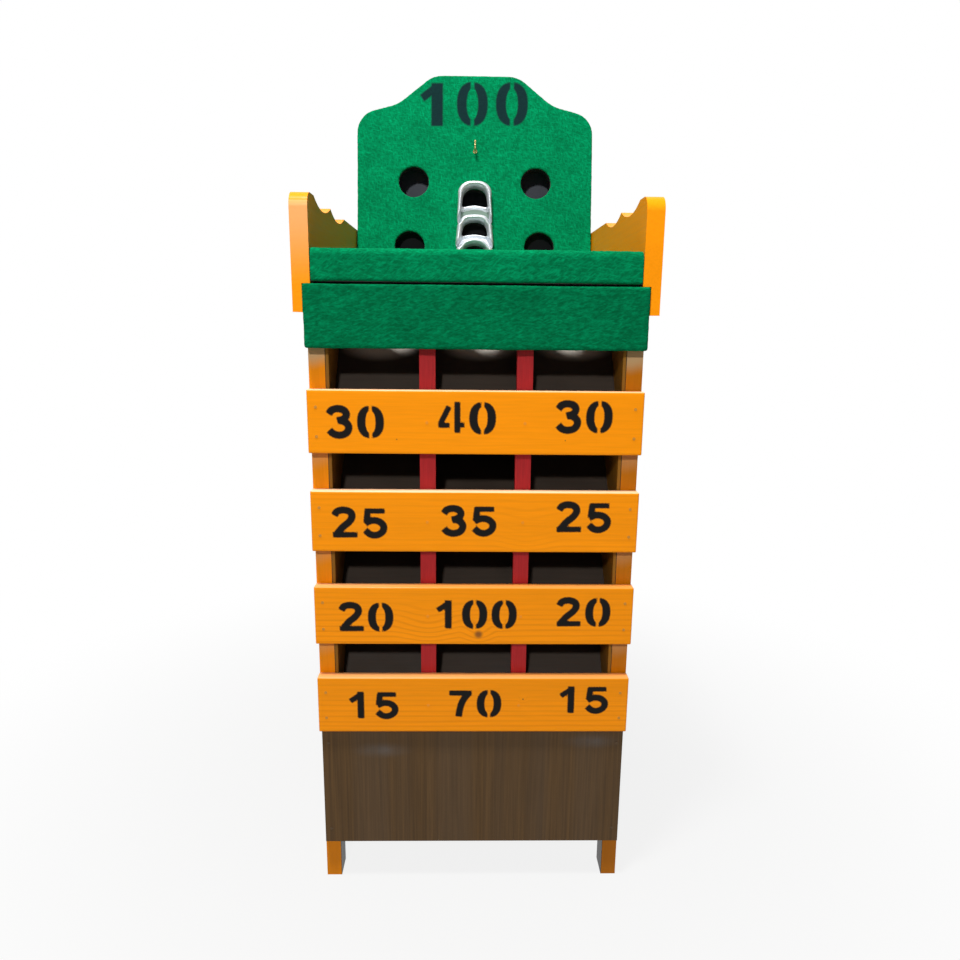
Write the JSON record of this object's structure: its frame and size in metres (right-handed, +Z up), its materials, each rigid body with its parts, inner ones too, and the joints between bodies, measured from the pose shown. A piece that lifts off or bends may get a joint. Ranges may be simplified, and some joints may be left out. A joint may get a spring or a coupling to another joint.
{
  "type": "frog toss game",
  "caption": "Free-standing wooden toss game: open cabinet with score rails and sloping chutes, and a lift-off felt table with a leaning target board, holes and metal mouths.",
  "frame": {"origin": "on the floor, under the middle of the whole game's box", "axes": "+Z up, -Y to the front that the player faces, +X to the player's right"},
  "size_m": [0.5302, 0.578, 1.4173],
  "materials": {
    "stained_wood": "orange stain, glossy lacquer",
    "bare_wood": "bare planed pine",
    "red_wood": "red gloss paint",
    "laminate": "brown wood-grain laminate",
    "felt": "green felt",
    "cast_aluminium": "rough cast, rubbed bright",
    "hook_brass": "dull brass",
    "nail_steel": "darkened steel"
  },
  "bodies": {
    "cabinet": {"front_left_post": "stained_wood", "front_right_post": "stained_wood", "rear_left_post": "stained_wood", "rear_right_post": "stained_wood", "upper_side_rails": "stained_wood", "lower_side_rails": "stained_wood", "rear_cross_rails": "stained_wood", "front_cross_rail": "stained_wood", "left_side_panel": "laminate", "right_side_panel": "laminate", "back_panel": "laminate", "base_panel": "laminate", "apron_board": "stained_wood", "apron_felt": "felt", "score_rail_1": "stained_wood", "score_rail_2": "stained_wood", "score_rail_3": "stained_wood", "score_rail_4": "stained_wood", "left_divider_batten": "red_wood", "right_divider_batten": "red_wood", "left_partition": "laminate", "right_partition": "laminate", "chute_floors_1": "laminate", "chute_floors_2": "laminate", "chute_floors_3": "laminate", "chute_floors_4": "laminate", "rail_nails": "nail_steel", "base_panel_nails": "nail_steel"},
    "head": {"left_arm": "stained_wood", "right_arm": "stained_wood", "front_bar": "stained_wood", "front_bar_felt": "felt", "playing_table": "bare_wood", "table_felt": "felt", "target_board": "bare_wood", "target_board_felt": "felt", "upper_hood": "cast_aluminium", "middle_hood": "cast_aluminium", "lower_hood": "cast_aluminium", "hood_screws": "nail_steel", "scoring_hook": "hook_brass", "left_duct_side": "stained_wood", "right_duct_side": "stained_wood", "duct_roof": "laminate", "duct_back_panel": "laminate", "duct_separators": "laminate", "upper_duct_partitions": "laminate", "lower_duct_partition": "laminate", "arm_nails": "nail_steel"}
  },
  "joints": [
    {"name": "head_lift", "type": "slide", "parent": "cabinet", "child": "head", "axis": [0, 0, 1], "range_m": [0, 0.06]}
  ]
}
